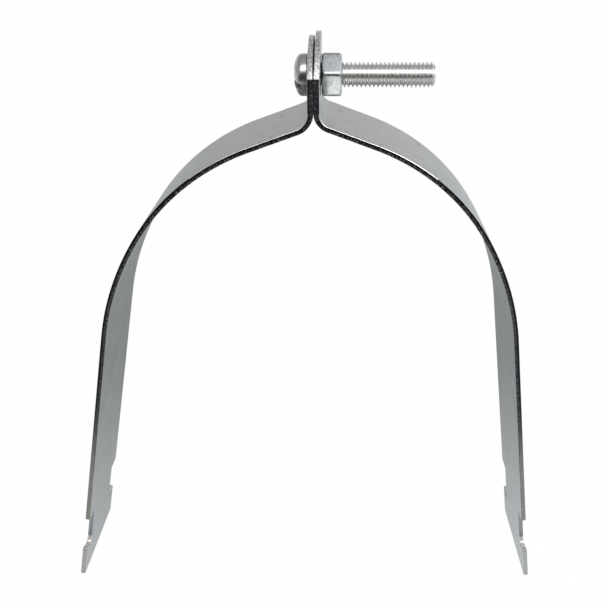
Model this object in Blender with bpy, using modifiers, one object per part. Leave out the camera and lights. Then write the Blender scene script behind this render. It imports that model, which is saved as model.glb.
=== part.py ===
"""Strut pipe clamp: two bent straps with hooked feet, closed at the top by a pan head screw and a hex nut.

Metres, +Z up. The clamp stands on its two feet. +X runs along the screw from the head to its tip, and
+Y runs along the pipe, away from the front. The origin is on the floor, midway between the outermost
edges of the feet and midway across the straps.
"""

import math

import bmesh
import bpy
import numpy as np
from mathutils import Matrix

MM = 0.001

# Strip that both straps are pressed from
STRAP_WIDTH = 30.0 * MM
SHEET = 1.25 * MM
EDGE_CORNER = 0.8 * MM

# Screw axis above the floor, and the gap left between pieces that the screw draws together
SCREW_HEIGHT = 145.0 * MM
SEAT_GAP = 0.3 * MM

# Ear: the upright end of each strap, measured from the screw axis
EAR_CORNER_RISE = 1.6 * MM
EAR_TOP_RISE_LEFT = 8.9 * MM
EAR_TOP_RISE_RIGHT = 9.9 * MM
EAR_DROP = 6.2 * MM
HOLE_CLEARANCE = 0.4 * MM

# Bends below the ear, with a straight shoulder after the first. The left half has sprung open more
BEND_RADIUS = 3.4 * MM
ROOT_SLOPE = math.radians(20.3)
SHOULDER_LENGTH = 12.2 * MM
CROWN_LENGTH = 33.9 * MM
CROWN_TURN_LEFT = math.radians(33.2)
CROWN_TURN_RIGHT = math.radians(37.3)
FLANK_LENGTH = 30.9 * MM
FLANK_TURN = math.radians(24.8)

# Foot, measured up the leg from its end
HOOK_TIP_HEIGHT = 10.6 * MM
HOOK_NECK_HEIGHT = 9.2 * MM
NOTCH_TOP_HEIGHT = 21.5 * MM
NECK_WIDTH = 20.6 * MM
HOOK_FILLET = 0.9 * MM
NOTCH_FILLET = 1.2 * MM

# Pan head screw with a slot and a shorter cross slot. The slot's front end is turned down by the slot turn
SCREW_DIAMETER = 5.8 * MM
SCREW_LENGTH = 30.2 * MM
TIP_CHAMFER = 0.7 * MM
HEAD_DIAMETER = 9.8 * MM
HEAD_HEIGHT = 3.2 * MM
HEAD_SIDE = 1.0 * MM
HEAD_FLAT_DIAMETER = 3.6 * MM
SLOT_WIDTH = 1.5 * MM
SLOT_DEPTH = 1.4 * MM
SLOT_TURN = math.radians(28.0)
CROSS_LENGTH = 5.6 * MM
CROSS_DEPTH = 2.0 * MM
CROSS_TAPER = 0.62

# Hex nut. It is turned so that one corner points to the front and a little up
NUT_ACROSS_FLATS = 9.8 * MM
NUT_THICKNESS = 4.8 * MM
NUT_TURN = math.radians(10.0)
NUT_CLEARANCE = 0.3 * MM
NUT_FACE_RATIO = 0.94
CHAMFER_ANGLE = math.radians(30.0)
LEAD_IN = 0.4 * MM

# Fineness of the curves
BEND_STEP = math.radians(7.0)
CURVE_STEP = math.radians(2.0)
FILLET_STEPS = 5
EAR_STEPS = 20
ROUND_SIDES = 48
DOME_STEPS = 8

# A cutter reaches this far past what it cuts, and stays a hair off an edge that it only rounds
OVERCUT = 3.0 * MM
HAIR = 0.02 * MM
WELD = 0.000001
SMOOTH_ANGLE = math.radians(35.0)

PARTING_FACE = SEAT_GAP / 2.0
HEAD_SEAT = -(PARTING_FACE + SHEET + SEAT_GAP)
NUT_SEAT = PARTING_FACE + SHEET + SEAT_GAP
HOLE_DIAMETER = SCREW_DIAMETER + 2.0 * HOLE_CLEARANCE


def clear_scene():
    """Removes every object, so the script can run again in the same file."""
    for old in list(bpy.data.objects):
        bpy.data.objects.remove(old, do_unlink=True)


def new_collection(name):
    """A collection of this name in the scene."""
    made = bpy.data.collections.new(name)
    bpy.context.scene.collection.children.link(made)
    return made


def zinc_material(name, colour, roughness):
    """Zinc plated steel: a metallic Principled surface."""
    made = bpy.data.materials.new(name)
    made.use_nodes = True
    surface = made.node_tree.nodes["Principled BSDF"]
    surface.inputs["Base Color"].default_value = (*colour, 1.0)
    surface.inputs["Metallic"].default_value = 1.0
    surface.inputs["Roughness"].default_value = roughness
    return made


def add_object(name, mesh, collection, parent):
    """An object for the mesh, in the collection and carried by the parent."""
    made = bpy.data.objects.new(name, mesh)
    collection.objects.link(made)
    made.parent = parent
    return made


def add_empty(name, collection, parent, location, turn=0.0):
    """An empty that carries pieces, turned about Y."""
    made = add_object(name, None, collection, parent)
    made.location = location
    made.rotation_euler = (0.0, turn, 0.0)
    return made


def hide_cutter(cutter):
    """Shows a cutter as wire and keeps it out of renders."""
    cutter.display_type = "WIRE"
    cutter.hide_render = True


def cut(target, cutter, operation="DIFFERENCE"):
    """A Boolean modifier on the target, which the cutter stays beside as a guide."""
    hide_cutter(cutter)
    step = target.modifiers.new(cutter.name, "BOOLEAN")
    step.operation = operation
    step.object = cutter
    step.solver = "EXACT"


def shade_round(mesh):
    """Smooth shading with creases at the corners."""
    mesh.shade_smooth()
    mesh.set_sharp_from_angle(angle=SMOOTH_ANGLE)


def rounded_outline(corners):
    """Points of a closed outline. Each corner is (x, y, radius), and a radius above 0 becomes an arc."""
    points = []
    for index, (x, y, radius) in enumerate(corners):
        here = np.array([x, y])
        if radius <= 0.0:
            points.append(here)
            continue
        before = np.array(corners[index - 1][:2]) - here
        after = np.array(corners[(index + 1) % len(corners)][:2]) - here
        before /= np.linalg.norm(before)
        after /= np.linalg.norm(after)
        half_angle = math.acos(np.clip(before @ after, -1.0, 1.0)) / 2.0
        inward = (before + after) / np.linalg.norm(before + after)
        centre = here + inward * radius / math.sin(half_angle)
        start = here + before * radius / math.tan(half_angle) - centre
        end = here + after * radius / math.tan(half_angle) - centre
        sweep = math.pi - 2.0 * half_angle
        for step in range(FILLET_STEPS + 1):
            part = sweep * step / FILLET_STEPS
            first = math.sin(sweep - part) / math.sin(sweep)
            second = math.sin(part) / math.sin(sweep)
            points.append(centre + first * start + second * end)
    return points


def flat_cutter(name, outline, thickness, collection, parent):
    """A prism for cutting sheet: the outline lies in the YZ plane and the thickness along X."""
    curve = bpy.data.curves.new(name, "CURVE")
    curve.dimensions = "2D"
    curve.fill_mode = "BOTH"
    curve.extrude = thickness / 2.0
    spline = curve.splines.new("POLY")
    spline.points.add(len(outline) - 1)
    for point, (across, up) in zip(spline.points, outline):
        point.co = (across, up, 0.0, 1.0)
    spline.use_cyclic_u = True
    drawn = bpy.data.objects.new(name, curve)
    collection.objects.link(drawn)
    drawn.rotation_euler = (math.pi / 2.0, 0.0, math.pi / 2.0)
    bpy.context.view_layer.update()
    graph = bpy.context.evaluated_depsgraph_get()
    mesh = bpy.data.meshes.new_from_object(drawn.evaluated_get(graph))
    mesh.transform(drawn.matrix_world)
    bpy.data.objects.remove(drawn)
    welded = bmesh.new()
    welded.from_mesh(mesh)
    bmesh.ops.remove_doubles(welded, verts=welded.verts, dist=WELD)
    bmesh.ops.recalc_face_normals(welded, faces=welded.faces)
    welded.to_mesh(mesh)
    welded.free()
    return add_object(name, mesh, collection, parent)


def round_cutter(name, diameter, depth, collection, parent):
    """A cylinder along X, centred on its parent."""
    drawn = bmesh.new()
    radius = diameter / 2.0
    bmesh.ops.create_cone(
        drawn, cap_ends=True, segments=ROUND_SIDES, radius1=radius, radius2=radius, depth=depth
    )
    mesh = bpy.data.meshes.new(name)
    drawn.to_mesh(mesh)
    drawn.free()
    made = add_object(name, mesh, collection, parent)
    made.rotation_euler = (0.0, math.pi / 2.0, 0.0)
    return made


def turned_piece(name, profile, collection, parent):
    """A turned solid about its own Z: the profile of (radius, height) runs from the top to the bottom."""
    mesh = bpy.data.meshes.new(name)
    edges = [(index, index + 1) for index in range(len(profile) - 1)]
    mesh.from_pydata([(radius, 0.0, height) for radius, height in profile], edges, [])
    made = add_object(name, mesh, collection, parent)
    turn = made.modifiers.new("turn", "SCREW")
    turn.axis = "Z"
    turn.steps = ROUND_SIDES
    turn.render_steps = ROUND_SIDES
    turn.use_merge_vertices = True
    turn.merge_threshold = WELD
    turn.use_smooth_shade = True
    return made


def strap_path(ear_top, crown_turn):
    """The face of one strap that meets the pipe, as (x, z) from the screw axis, from the ear's top down.

    The ear runs straight down, the root bend turns it outwards into the straight shoulder, and the crown
    and the flank turn it down again into the straight leg, which ends on the floor. Returns the points
    and the leg's lean.
    """
    points = [(PARTING_FACE, ear_top), (PARTING_FACE, -EAR_DROP)]
    heading = math.pi / 2.0
    outer_bend = BEND_RADIUS + SHEET
    root_turn = heading - ROOT_SLOPE
    shoulder = (SHOULDER_LENGTH * math.cos(ROOT_SLOPE), -SHOULDER_LENGTH * math.sin(ROOT_SLOPE))
    bends = [
        (outer_bend * root_turn, -root_turn, BEND_STEP, shoulder),
        (CROWN_LENGTH, crown_turn, CURVE_STEP, None),
        (FLANK_LENGTH, FLANK_TURN, CURVE_STEP, None),
    ]
    for length, turn, step, straight in bends:
        count = math.ceil(abs(turn) / step)
        chord = 2.0 * (length / abs(turn)) * math.sin(abs(turn) / count / 2.0)
        for index in range(count):
            middle = heading + turn * (index + 0.5) / count
            x, z = points[-1]
            points.append((x + chord * math.cos(middle), z - chord * math.sin(middle)))
        heading += turn
        if straight:
            x, z = points[-1]
            points.append((x + straight[0], z + straight[1]))
    x, z = points[-1]
    leg = (z + SCREW_HEIGHT) / math.sin(heading)
    points.append((x + leg * math.cos(heading), -SCREW_HEIGHT))
    return points, math.pi / 2.0 - heading


def foot_reach(path, lean):
    """How far the outer edge of a foot is from the parting plane."""
    return path[-1][0] + SHEET * math.cos(lean)


def folded_sheet(name, path, side, collection, parent):
    """The bent strip before it is cut: the path swept across the strap's width and given its thickness."""
    drawn = bmesh.new()
    row = [drawn.verts.new((side * x, -STRAP_WIDTH / 2.0, z)) for x, z in path]
    edges = [drawn.edges.new(pair) for pair in zip(row, row[1:])]
    swept = bmesh.ops.extrude_edge_only(drawn, edges=edges)
    moved = [item for item in swept["geom"] if isinstance(item, bmesh.types.BMVert)]
    bmesh.ops.translate(drawn, verts=moved, vec=(0.0, STRAP_WIDTH, 0.0))
    drawn.normal_update()
    for face in drawn.faces:
        if abs(face.normal.x) > 0.9 and face.normal.x * side < 0.0:
            bmesh.ops.reverse_faces(drawn, faces=list(drawn.faces))
            break
    mesh = bpy.data.meshes.new(name)
    drawn.to_mesh(mesh)
    drawn.free()
    shade_round(mesh)
    made = add_object(name, mesh, collection, parent)
    wall = made.modifiers.new("sheet", "SOLIDIFY")
    wall.thickness = SHEET
    wall.offset = 1.0
    wall.use_even_offset = True
    return made


def ear_trim_outline(top_rise):
    """What is cut off above the ear: its end is one arc through both corners and the top."""
    half = STRAP_WIDTH / 2.0
    rise = top_rise - EAR_CORNER_RISE
    radius = (half * half + rise * rise) / (2.0 * rise)
    centre = top_rise - radius
    reach = half + OVERCUT
    end_angle = math.asin(half / radius)
    arc = []
    for index in range(EAR_STEPS + 1):
        angle = end_angle * (2.0 * index / EAR_STEPS - 1.0)
        arc.append((radius * math.sin(angle), centre + radius * math.cos(angle)))
    ceiling = top_rise + 2.0 * OVERCUT
    drop = OVERCUT * math.tan(end_angle)
    low = EAR_CORNER_RISE - drop
    return [(-reach, ceiling), (-reach, low)] + arc + [(reach, low), (reach, ceiling)]


def foot_side_outline(side):
    """What is cut off one edge of a foot: the notch above the hook, and the rounded corners."""
    edge = STRAP_WIDTH / 2.0 + HAIR
    neck = NECK_WIDTH / 2.0
    beyond = STRAP_WIDTH / 2.0 + OVERCUT
    top = NOTCH_TOP_HEIGHT + OVERCUT
    corners = [
        (beyond, top, 0.0),
        (edge, top, 0.0),
        (edge, NOTCH_TOP_HEIGHT, EDGE_CORNER),
        (neck, NOTCH_TOP_HEIGHT, NOTCH_FILLET),
        (neck, HOOK_NECK_HEIGHT, HOOK_FILLET),
        (edge, HOOK_TIP_HEIGHT, EDGE_CORNER),
        (edge, -HAIR, EDGE_CORNER),
        (neck, -HAIR, 0.0),
        (neck, -OVERCUT, 0.0),
        (beyond, -OVERCUT, 0.0),
    ]
    return [(side * across, up) for across, up in rounded_outline(corners)]


def make_strap(name, side, ear_top, crown_turn, material, parts, cutters, axis):
    """One strap: a folded sheet with a rounded ear, a screw hole and a hooked foot."""
    path, lean = strap_path(ear_top + OVERCUT, crown_turn)
    strap = folded_sheet(name, path, side, parts, axis)
    strap.data.materials.append(material)

    ear_x = side * (PARTING_FACE + SHEET / 2.0)
    ear_middle = add_empty(name + "_ear_frame", cutters, axis, (ear_x, 0.0, 0.0))
    reach = SHEET + 2.0 * OVERCUT
    trim = flat_cutter(name + "_ear_trim", ear_trim_outline(ear_top), SHEET + OVERCUT, cutters, ear_middle)
    cut(strap, trim)
    hole = round_cutter(name + "_screw_hole", HOLE_DIAMETER, reach, cutters, ear_middle)
    cut(strap, hole)

    foot_x, foot_z = path[-1]
    foot_frame = add_empty(name + "_foot_frame", cutters, axis, (side * foot_x, 0.0, foot_z), -side * lean)
    for edge_name, edge_side in (("front", -1.0), ("rear", 1.0)):
        notch = flat_cutter(
            name + "_" + edge_name + "_notch", foot_side_outline(edge_side), reach, cutters, foot_frame
        )
        cut(strap, notch)
    return strap


def head_profile():
    """Half section of the screw from its tip down to the top of its domed head, as (radius, height)."""
    shank = SCREW_DIAMETER / 2.0
    head = HEAD_DIAMETER / 2.0
    flat = HEAD_FLAT_DIAMETER / 2.0
    profile = [
        (0.0, SCREW_LENGTH),
        (shank - TIP_CHAMFER, SCREW_LENGTH),
        (shank, SCREW_LENGTH - TIP_CHAMFER),
        (shank, 0.0),
        (head, 0.0),
    ]
    for index in range(DOME_STEPS + 1):
        angle = math.pi / 2.0 * index / DOME_STEPS
        radius = flat + (head - flat) * math.cos(angle)
        height = HEAD_SIDE + (HEAD_HEIGHT - HEAD_SIDE) * math.sin(angle)
        profile.append((radius, -height))
    profile.append((0.0, -HEAD_HEIGHT))
    return profile


def slot_cutter(name, length, width, depth, taper, collection, parent):
    """A blade that cuts into the top of the head, narrowing by the taper towards its floor."""
    drawn = bmesh.new()
    bmesh.ops.create_cube(drawn, size=1.0)
    height = depth + OVERCUT
    bmesh.ops.scale(drawn, verts=drawn.verts, vec=(length, width, height))
    floor = [vertex for vertex in drawn.verts if vertex.co.z > 0.0]
    bmesh.ops.scale(drawn, verts=floor, vec=(taper, taper, 1.0))
    bmesh.ops.translate(drawn, verts=drawn.verts, vec=(0.0, 0.0, depth - HEAD_HEIGHT - height / 2.0))
    mesh = bpy.data.meshes.new(name)
    drawn.to_mesh(mesh)
    drawn.free()
    return add_object(name, mesh, collection, parent)


def make_screw(material, parts, cutters, axis):
    """The clamp screw, turned about its own Z and laid along X with its head towards -X."""
    screw = turned_piece("clamp_screw", head_profile(), parts, axis)
    screw.data.materials.append(material)
    screw.location = (HEAD_SEAT, 0.0, 0.0)
    screw.rotation_euler = (0.0, math.pi / 2.0, 0.0)
    slot = slot_cutter(
        "head_slot", HEAD_DIAMETER + OVERCUT, SLOT_WIDTH, SLOT_DEPTH, 1.0, cutters, screw
    )
    slot.rotation_euler = (0.0, 0.0, SLOT_TURN - math.pi / 2.0)
    cut(screw, slot)
    cross = slot_cutter("head_cross", CROSS_LENGTH, SLOT_WIDTH, CROSS_DEPTH, CROSS_TAPER, cutters, screw)
    cross.rotation_euler = (0.0, 0.0, SLOT_TURN)
    cut(screw, cross)
    return screw


def make_nut(material, parts, cutters, axis):
    """The hex nut: a six-sided bar with coned corners at both ends and a bore that clears the screw."""
    corner_radius = NUT_ACROSS_FLATS / 2.0 / math.cos(math.pi / 6.0)
    drawn = bmesh.new()
    bmesh.ops.create_cone(
        drawn, cap_ends=True, segments=6, radius1=corner_radius, radius2=corner_radius, depth=NUT_THICKNESS
    )
    turn = Matrix.Rotation(-NUT_TURN, 3, "Z")
    bmesh.ops.rotate(drawn, verts=drawn.verts, cent=(0.0, 0.0, 0.0), matrix=turn)
    mesh = bpy.data.meshes.new("hex_nut")
    drawn.to_mesh(mesh)
    drawn.free()
    nut = add_object("hex_nut", mesh, parts, axis)
    nut.data.materials.append(material)
    nut.location = (NUT_SEAT + NUT_THICKNESS / 2.0, 0.0, 0.0)
    nut.rotation_euler = (0.0, math.pi / 2.0, 0.0)

    half = NUT_THICKNESS / 2.0
    face_radius = NUT_FACE_RATIO * NUT_ACROSS_FLATS / 2.0
    full_radius = corner_radius + OVERCUT
    cone_drop = (full_radius - face_radius) * math.tan(CHAMFER_ANGLE)
    envelope = turned_piece(
        "nut_chamfer",
        [(0.0, half), (face_radius, half), (full_radius, half - cone_drop)]
        + [(full_radius, cone_drop - half), (face_radius, -half), (0.0, -half)],
        cutters,
        nut,
    )
    cut(nut, envelope, "INTERSECT")

    bore_radius = SCREW_DIAMETER / 2.0 + NUT_CLEARANCE
    mouth_radius = bore_radius + LEAD_IN
    past = half + OVERCUT
    bore = turned_piece(
        "nut_bore",
        [(0.0, past), (mouth_radius, past), (mouth_radius, half), (bore_radius, half - LEAD_IN)]
        + [(bore_radius, LEAD_IN - half), (mouth_radius, -half), (mouth_radius, -past), (0.0, -past)],
        cutters,
        nut,
    )
    cut(nut, bore)
    return nut


def main():
    clear_scene()
    parts = new_collection("strut_pipe_clamp")
    cutters = new_collection("cutters")
    strap_zinc = zinc_material("strap_zinc", (0.60, 0.61, 0.61), 0.38)
    right_strap_zinc = zinc_material("right_strap_zinc", (0.61, 0.62, 0.62), 0.38)
    screw_zinc = zinc_material("screw_zinc", (0.70, 0.71, 0.72), 0.25)
    nut_zinc = zinc_material("nut_zinc", (0.66, 0.67, 0.68), 0.30)

    left_reach = foot_reach(*strap_path(EAR_TOP_RISE_LEFT, CROWN_TURN_LEFT))
    right_reach = foot_reach(*strap_path(EAR_TOP_RISE_RIGHT, CROWN_TURN_RIGHT))
    parting_plane = (left_reach - right_reach) / 2.0
    axis = add_empty("screw_axis", parts, None, (parting_plane, 0.0, SCREW_HEIGHT))

    make_strap("left_strap", -1.0, EAR_TOP_RISE_LEFT, CROWN_TURN_LEFT, strap_zinc, parts, cutters, axis)
    make_strap(
        "right_strap", 1.0, EAR_TOP_RISE_RIGHT, CROWN_TURN_RIGHT, right_strap_zinc, parts, cutters, axis
    )
    make_screw(screw_zinc, parts, cutters, axis)
    make_nut(nut_zinc, parts, cutters, axis)


main()
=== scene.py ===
"""Strut pipe clamp: two zinc plated straps with hooked feet, a pan head screw and a hex nut.

Metres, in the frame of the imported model: +X runs along the screw to its tip, +Y along the pipe and away
from the front, +Z up. The clamp stands on its two feet.
"""

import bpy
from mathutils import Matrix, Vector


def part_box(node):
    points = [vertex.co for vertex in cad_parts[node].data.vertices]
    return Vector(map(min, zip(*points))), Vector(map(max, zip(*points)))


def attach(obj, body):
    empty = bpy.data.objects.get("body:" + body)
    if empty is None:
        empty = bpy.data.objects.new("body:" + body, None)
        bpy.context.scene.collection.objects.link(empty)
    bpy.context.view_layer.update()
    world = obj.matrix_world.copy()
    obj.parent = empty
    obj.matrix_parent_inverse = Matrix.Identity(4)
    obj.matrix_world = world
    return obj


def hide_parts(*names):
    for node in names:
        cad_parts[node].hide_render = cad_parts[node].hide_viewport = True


bl_info = {
    "name": "Strut Pipe Clamp",
    "version": (1, 0, 0),
    "blender": (4, 5, 0),
    "location": "3D View > Sidebar > Pipe Clamp",
    "description": "Builds a zinc plated strut pipe clamp with its screw, nut and studio stage",
    "category": "Add Mesh",
}

import math

import bmesh
import bpy
import numpy as np
from bpy.props import FloatProperty, FloatVectorProperty, PointerProperty
from mathutils import Vector

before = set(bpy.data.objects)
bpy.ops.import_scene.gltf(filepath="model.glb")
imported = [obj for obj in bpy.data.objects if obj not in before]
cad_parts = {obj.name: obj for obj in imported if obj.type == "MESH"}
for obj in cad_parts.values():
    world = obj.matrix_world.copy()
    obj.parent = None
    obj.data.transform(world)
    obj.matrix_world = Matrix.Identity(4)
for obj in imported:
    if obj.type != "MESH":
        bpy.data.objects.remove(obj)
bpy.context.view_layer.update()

MM = 0.001
LEFT_LOW, LEFT_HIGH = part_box("left_strap")
RIGHT_LOW, RIGHT_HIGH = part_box("right_strap")
SCREW_LOW, SCREW_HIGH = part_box("clamp_screw")
NUT_LOW, NUT_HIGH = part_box("hex_nut")
PARTING_PLANE = (LEFT_HIGH.x + RIGHT_LOW.x) / 2.0
SCREW_AXIS_Z = (SCREW_LOW.z + SCREW_HIGH.z) / 2.0


def length_prop(name, description, millimetres):
    """A length, given in millimetres and kept in metres."""
    default = millimetres * MM
    return FloatProperty(name=name, description=description, default=default, unit="LENGTH", precision=5)


def angle_prop(name, description, degrees):
    """An angle that the sidebar shows in degrees."""
    return FloatProperty(name=name, description=description, default=math.radians(degrees), subtype="ANGLE")


def sides_prop(name, description, left, right, unit="LENGTH"):
    """A length in millimetres or an angle in degrees for each strap, the left one first."""
    scale = MM if unit == "LENGTH" else math.radians(1.0)
    both = (left * scale, right * scale)
    told = description + ", left and right"
    return FloatVectorProperty(name=name, description=told, default=both, size=2, unit=unit, precision=5)


def colour_prop(name, description, default):
    """A linear colour that the sidebar shows as a swatch."""
    return FloatVectorProperty(
        name=name, description=description, default=default, subtype="COLOR", size=3, min=0.0, max=1.0
    )


def factor_prop(name, description, default):
    """A plain number from 0 to 1."""
    return FloatProperty(name=name, description=description, default=default, min=0.0, max=1.0)


class StrapSettings(bpy.types.PropertyGroup):
    """Sizes of the two bent straps."""

    width: length_prop("Width", "Width of the strip", (LEFT_HIGH.y - LEFT_LOW.y) / MM)
    sheet: length_prop("Sheet", "Thickness of the strip", 1.25)
    rollover: length_prop("Rollover", "Rounding along the outer side of the sheared edge", 0.24)
    burr: length_prop("Burr", "Rounding along the inner side of the sheared edge", 0.14)
    edge_corner: length_prop("Edge corner", "Rounding of the notch's corners", 0.8)
    foot_corner: length_prop("Foot corner", "Rounding of the foot's two lower corners", 1.0)
    ear_corner: length_prop("Ear corner", "Rounding where the ear's side meets its end", 0.45)
    ear_corner_rise: length_prop("Ear corner rise", "Ear's corner above the screw axis", 1.45)
    ear_drop: length_prop("Ear drop", "Start of the root bend below the screw axis", 6.2)
    ear_close: length_prop("Ear close", "How far the ear's inner face is drawn to its twin", 0.12)
    hole: length_prop("Hole", "Diameter of the screw hole", 6.6)
    # The rollover's lighter line is a painted highlight: this is how far below the screw axis it is widened,
    # near the root bend.
    highlighted: length_prop("Burnished", "How far down the strip the rollover is burnished", 40.0)
    neck: length_prop("Neck", "Width of the strip between the notches", 20.0)
    hook_tip: length_prop("Hook tip", "Height of the hook's tip, up the leg", 11.1)
    hook_neck: length_prop("Hook neck", "Height of the hook at the neck, up the leg", 8.4)
    notch_top: length_prop("Notch top", "Top of the notch, up the leg", 21.5)
    hook_fillet: length_prop("Hook fillet", "Fillet at the bottom of the notch", 0.9)
    notch_fillet: length_prop("Notch fillet", "Fillet at the top of the notch", 0.4)


class BendSettings(bpy.types.PropertyGroup):
    """Runs and turns of the two straps, from the ear down to the leg."""

    ear_lean: sides_prop("Ear lean", "How far the ear's top leans to the screw's tip", 0.155, 0.24)
    bend_radius: sides_prop("Bend radius", "Inner radius of the root bend", 3.64, 3.0)
    root_slope: sides_prop("Root slope", "Slope where the root bend ends", 19.7, 20.2, "ROTATION")
    shoulder: sides_prop("Shoulder", "Straight run after the root bend", 12.3, 11.9)
    crown: sides_prop("Crown", "Length of the crown's arc", 33.65, 34.3)
    crown_turn: sides_prop("Crown turn", "Turn of the crown", 34.26, 37.2, "ROTATION")
    flank: sides_prop("Flank", "Length of the flank's arc", 31.1, 31.2)
    flank_turn: sides_prop("Flank turn", "Turn of the flank", 24.3, 24.7, "ROTATION")


class ScrewSettings(bpy.types.PropertyGroup):
    """Sizes of the pan head screw."""

    pitch: length_prop("Pitch", "Pitch of the thread", 1.0)
    diameter: length_prop("Diameter", "Outer diameter of the thread", 5.8)
    depth: length_prop("Thread depth", "Depth of the thread", 0.6)
    chamfer: length_prop("Tip chamfer", "Chamfer at the screw's tip", 0.7)
    head_height: length_prop("Head height", "Height of the head", 3.2)
    head_side: length_prop("Head side", "Height of the head's straight side", 1.0)
    dome_power: FloatProperty(name="Dome power", description="Fullness of the head's dome", default=2.4)
    slot_width: length_prop("Slot width", "Width of the slot", 1.6)
    slot_depth: length_prop("Slot depth", "Depth of the slot below the top of the head", 2.0)
    slot_turn: angle_prop("Slot turn", "Turn of the slot below the front", 28.0)
    cross_length: length_prop("Cross length", "Length of the cross slot", 5.6)
    cross_depth: length_prop("Cross depth", "Depth of the cross slot", 2.4)


class NutSettings(bpy.types.PropertyGroup):
    """Sizes of the hex nut."""

    flats: length_prop("Across flats", "Width of the nut across its flats", 9.8)
    turn: angle_prop("Turn", "Turn of the front corner above the front", 10.8)
    corner: length_prop("Corner", "Rounding of the nut's six edges", 1.15)
    shoulder: length_prop("Shoulder", "Rounding between the coned corners and the sides", 0.4)
    face: length_prop("Face", "Diameter of the flat ring on each end", 9.0)
    cone: angle_prop("Cone", "Slope of the coned corners", 30.0)
    bore: length_prop("Bore", "Diameter of the nut's bore", 6.0)
    lead_in: length_prop("Lead in", "Chamfer at the mouth of the bore", 0.4)


class FinishSettings(bpy.types.PropertyGroup):
    """Colours and gloss of the plated steel."""

    strap: colour_prop("Strap zinc", "Colour of the plating on the straps", (0.44, 0.457, 0.455))
    # The torn, sliced and leg colours take the sheared edge from near-black round the arch to grey-brown
    # down the leg: partly the steel's own colour and partly painted reflection, dark where the studio's
    # front is mirrored and paler where the floor is.
    torn_low: colour_prop("Torn low", "Dark parts of the edge's torn inner half", (0.036, 0.034, 0.034))
    torn_high: colour_prop("Torn high", "Bright parts of the edge's torn inner half", (0.135, 0.13, 0.122))
    arch_sliced: colour_prop("Arch sliced", "Smooth outer half of the arch's edge", (0.015, 0.020, 0.032))
    leg_sliced: colour_prop("Leg sliced", "Smooth outer half of the legs' edge", (0.25, 0.25, 0.245))
    ear_side: colour_prop("Ear side", "Sheared sides of the ears", (0.082, 0.087, 0.102))
    ear_end_low: colour_prop("Ear end low", "Dark parts of the ears' rounded ends", (0.42, 0.425, 0.43))
    ear_end_high: colour_prop("Ear end high", "Bright parts of the ears' rounded ends", (0.96, 0.97, 0.98))
    leg_low: colour_prop("Leg low", "Dark parts of the edge down the legs", (0.155, 0.1475, 0.13))
    leg_high: colour_prop("Leg high", "Bright parts of the edge down the legs", (0.31, 0.295, 0.26))
    neck_edge: colour_prop("Neck edge", "Sheared edge between the notches", (0.30, 0.315, 0.33))
    hook_edge: colour_prop("Hook edge", "Sheared edge of the hooks", (0.46, 0.465, 0.44))
    # Painted highlight: a lighter tint on the rounded rollover, which the lamps also catch.
    rollover_highlight: colour_prop("Rolled edge", "Burnished line along the outer side of the edge", (0.80, 0.80, 0.80))
    # Also the painted highlight on the hook's upper side and the painted glints in the head's recess.
    fleck_and_highlight: colour_prop("Fleck", "Bright flecks in the sheared edge", (0.72, 0.71, 0.68))
    # One plating in two tints: painted shade darkens the head and painted light brightens the thread.
    screw: colour_prop("Screw zinc", "Colour of the plating on the screw's head", (0.575, 0.585, 0.585))
    thread: colour_prop("Thread zinc", "Colour of the plating on the thread", (0.80, 0.80, 0.79))
    # Painted shade: both recess colours are darker than the head's plating.
    recess_shade_low: colour_prop("Recess low", "Dark parts of the head's recess", (0.17, 0.165, 0.145))
    recess_shade_high: colour_prop("Recess high", "Dull plating in the head's recess", (0.45, 0.44, 0.39))
    nut: colour_prop("Nut zinc", "Colour of the plating on the nut", (0.62, 0.64, 0.66))
    # Roughness of the rollover's painted highlight.
    rolled_gloss: factor_prop("Rolled roughness", "Roughness of the burnished line", 0.26)
    strap_gloss: factor_prop("Strap roughness", "Roughness of the straps", 0.36)
    screw_gloss: factor_prop("Screw roughness", "Roughness of the screw's head", 0.25)
    thread_gloss: factor_prop("Thread roughness", "Roughness of the screw's thread", 0.32)
    nut_gloss: factor_prop("Nut roughness", "Roughness of the nut", 0.27)


class StudioSettings(bpy.types.PropertyGroup):
    """Camera, lamps and floor."""

    lens: FloatProperty(name="Lens", description="Focal length in millimetres", default=46.19)
    pitch: angle_prop("Camera pitch", "How far the camera looks down", 26.316)
    yaw: angle_prop("Camera yaw", "How far the camera turns towards the screw's tip", -0.275)
    across: length_prop("Camera across", "Camera's place along X", 9.98)
    back: length_prop("Camera back", "Camera's distance in front of the clamp's middle", 191.51)
    height: length_prop("Camera height", "Camera's height above the floor", 177.06)
    shift_across: factor_prop("Shift across", "Sideways shift of the lens, to the left", 0.0487)
    shift_up: factor_prop("Shift up", "Upward shift of the lens", 0.0107)
    floor_radius: length_prop("Floor radius", "Radius of the round floor", 4000.0)


def weld(points, quads, tolerance=1e-7):
    """The points left when those that coincide become one, the quads on them and their lost corners."""
    keys = np.round(points / tolerance).astype(np.int64)
    _, first, inverse = np.unique(keys, axis=0, return_index=True, return_inverse=True)
    quads = inverse.reshape(-1)[quads]
    return first, quads, quads == np.roll(quads, -1, axis=1)


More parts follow.
